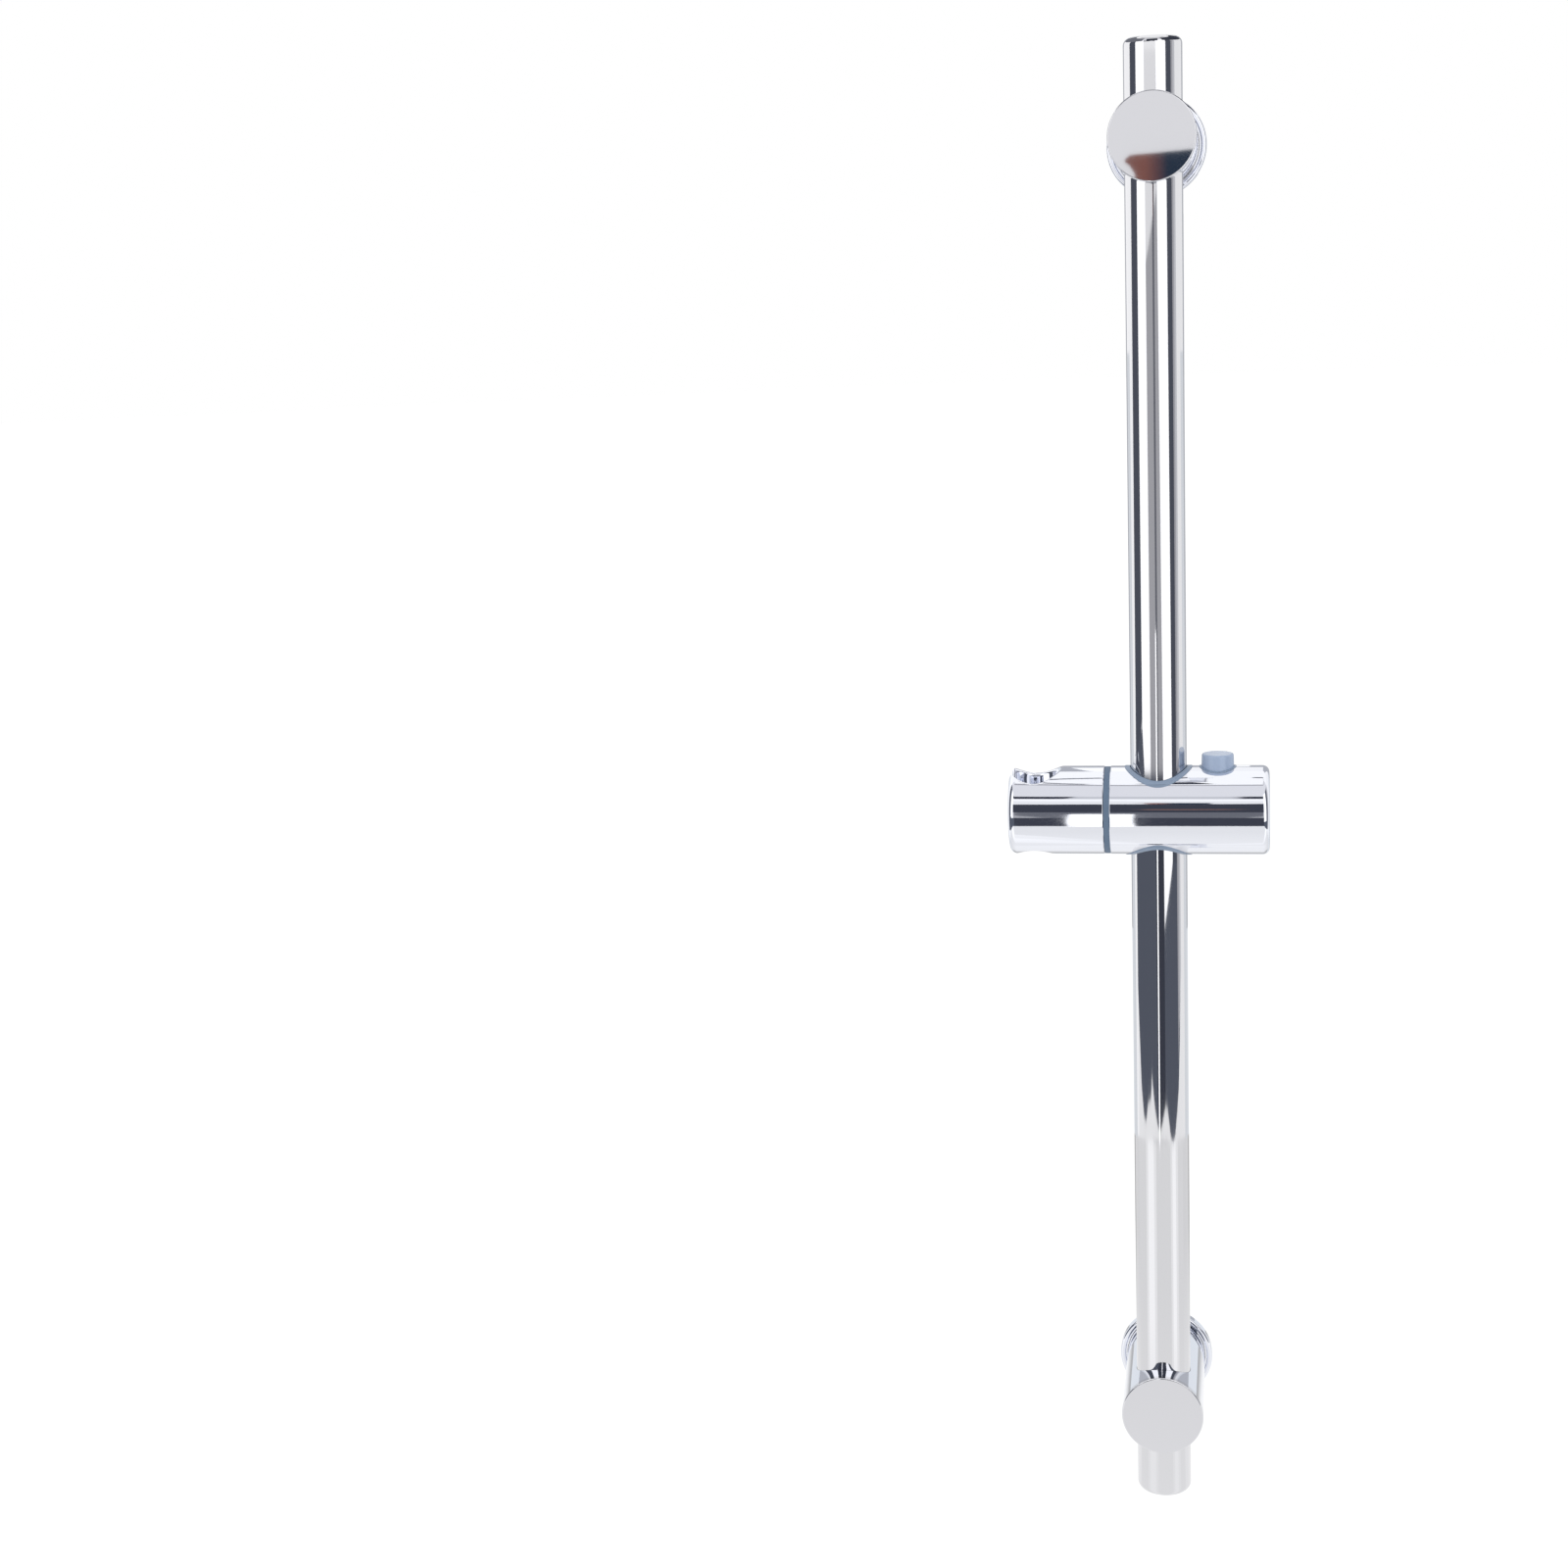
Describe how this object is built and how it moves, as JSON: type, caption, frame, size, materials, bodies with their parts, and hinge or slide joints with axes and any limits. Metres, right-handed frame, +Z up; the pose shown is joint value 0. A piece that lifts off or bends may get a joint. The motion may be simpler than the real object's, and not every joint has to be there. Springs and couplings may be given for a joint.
{
  "type": "shower slide rail",
  "caption": "Upright round wall rail on two posts, with a push-button holder for a hand shower that slides, turns and swivels.",
  "frame": {"origin": "centre of the upper bracket where it meets the wall", "axes": "+Z up along the rail, +Y into the wall, +X to the right seen from the room"},
  "size_m": [0.1155, 0.0715, 0.665],
  "materials": {
    "polished_stainless": "polished stainless steel",
    "bright_chrome": "bright chrome plate",
    "blue_grey_plastic": "satin moulded",
    "black_core_plastic": "moulded",
    "natural_nylon": "moulded",
    "zinc_alloy": "die-cast",
    "stud_brass": "turned",
    "plain_steel": "zinc plated",
    "black_rubber": "moulded"
  },
  "bodies": {
    "rail": {"rail_tube": "polished_stainless", "upper_end_cap": "polished_stainless", "lower_end_cap": "polished_stainless", "upper_post": "bright_chrome", "upper_face_cap": "bright_chrome", "upper_rosette": "bright_chrome", "upper_rosette_seal": "black_rubber", "upper_wall_plate": "zinc_alloy", "upper_grub_screw": "plain_steel", "upper_clamp_screw": "plain_steel", "lower_post": "bright_chrome", "lower_face_cap": "bright_chrome", "lower_rosette": "bright_chrome", "lower_rosette_seal": "black_rubber", "lower_wall_plate": "zinc_alloy", "lower_grub_screw": "plain_steel", "lower_clamp_screw": "plain_steel"},
    "glide": {"upper_glide_ring": "natural_nylon", "lower_glide_ring": "natural_nylon"},
    "slider": {"slider_shell": "bright_chrome", "upper_rail_bush": "blue_grey_plastic", "lower_rail_bush": "blue_grey_plastic", "slider_core": "black_core_plastic", "swivel_stud": "stud_brass", "swivel_ring": "blue_grey_plastic", "swivel_washer": "plain_steel", "swivel_screw": "plain_steel", "button_guide": "blue_grey_plastic", "brake_spring": "plain_steel"},
    "socket": {"handset_socket": "bright_chrome"},
    "button": {"push_button": "blue_grey_plastic", "button_pin": "plain_steel"},
    "brake": {"brake_shoe": "black_core_plastic", "brake_pad": "black_rubber"}
  },
  "joints": [
    {"name": "slider_height", "type": "slide", "parent": "rail", "child": "glide", "axis": [0, 0, 1], "range_m": [-0.2447, 0.2537]},
    {"name": "slider_turn", "type": "hinge", "parent": "glide", "child": "slider", "pos_m": [0, -0.05, -0.293], "axis": [0, 0, 1], "range_deg": [-28, 40]},
    {"name": "holder_swivel", "type": "hinge", "parent": "slider", "child": "socket", "pos_m": [-0.045, -0.05, -0.293], "axis": [1, 0, 0], "continuous": true},
    {"name": "button_press", "type": "slide", "parent": "slider", "child": "button", "axis": [0, 0, -1], "range_m": [0, 0.003], "stiffness_N_per_m": 900, "springref_m": -0.002},
    {"name": "brake_release", "type": "slide", "parent": "slider", "child": "brake", "axis": [1, 0, 0], "range_m": [0, 0.00125], "deforming": ["brake_spring"]}
  ],
  "couplings": [
    {"joint": "brake_release", "follows": "button_press", "ratio": 0.4}
  ]
}
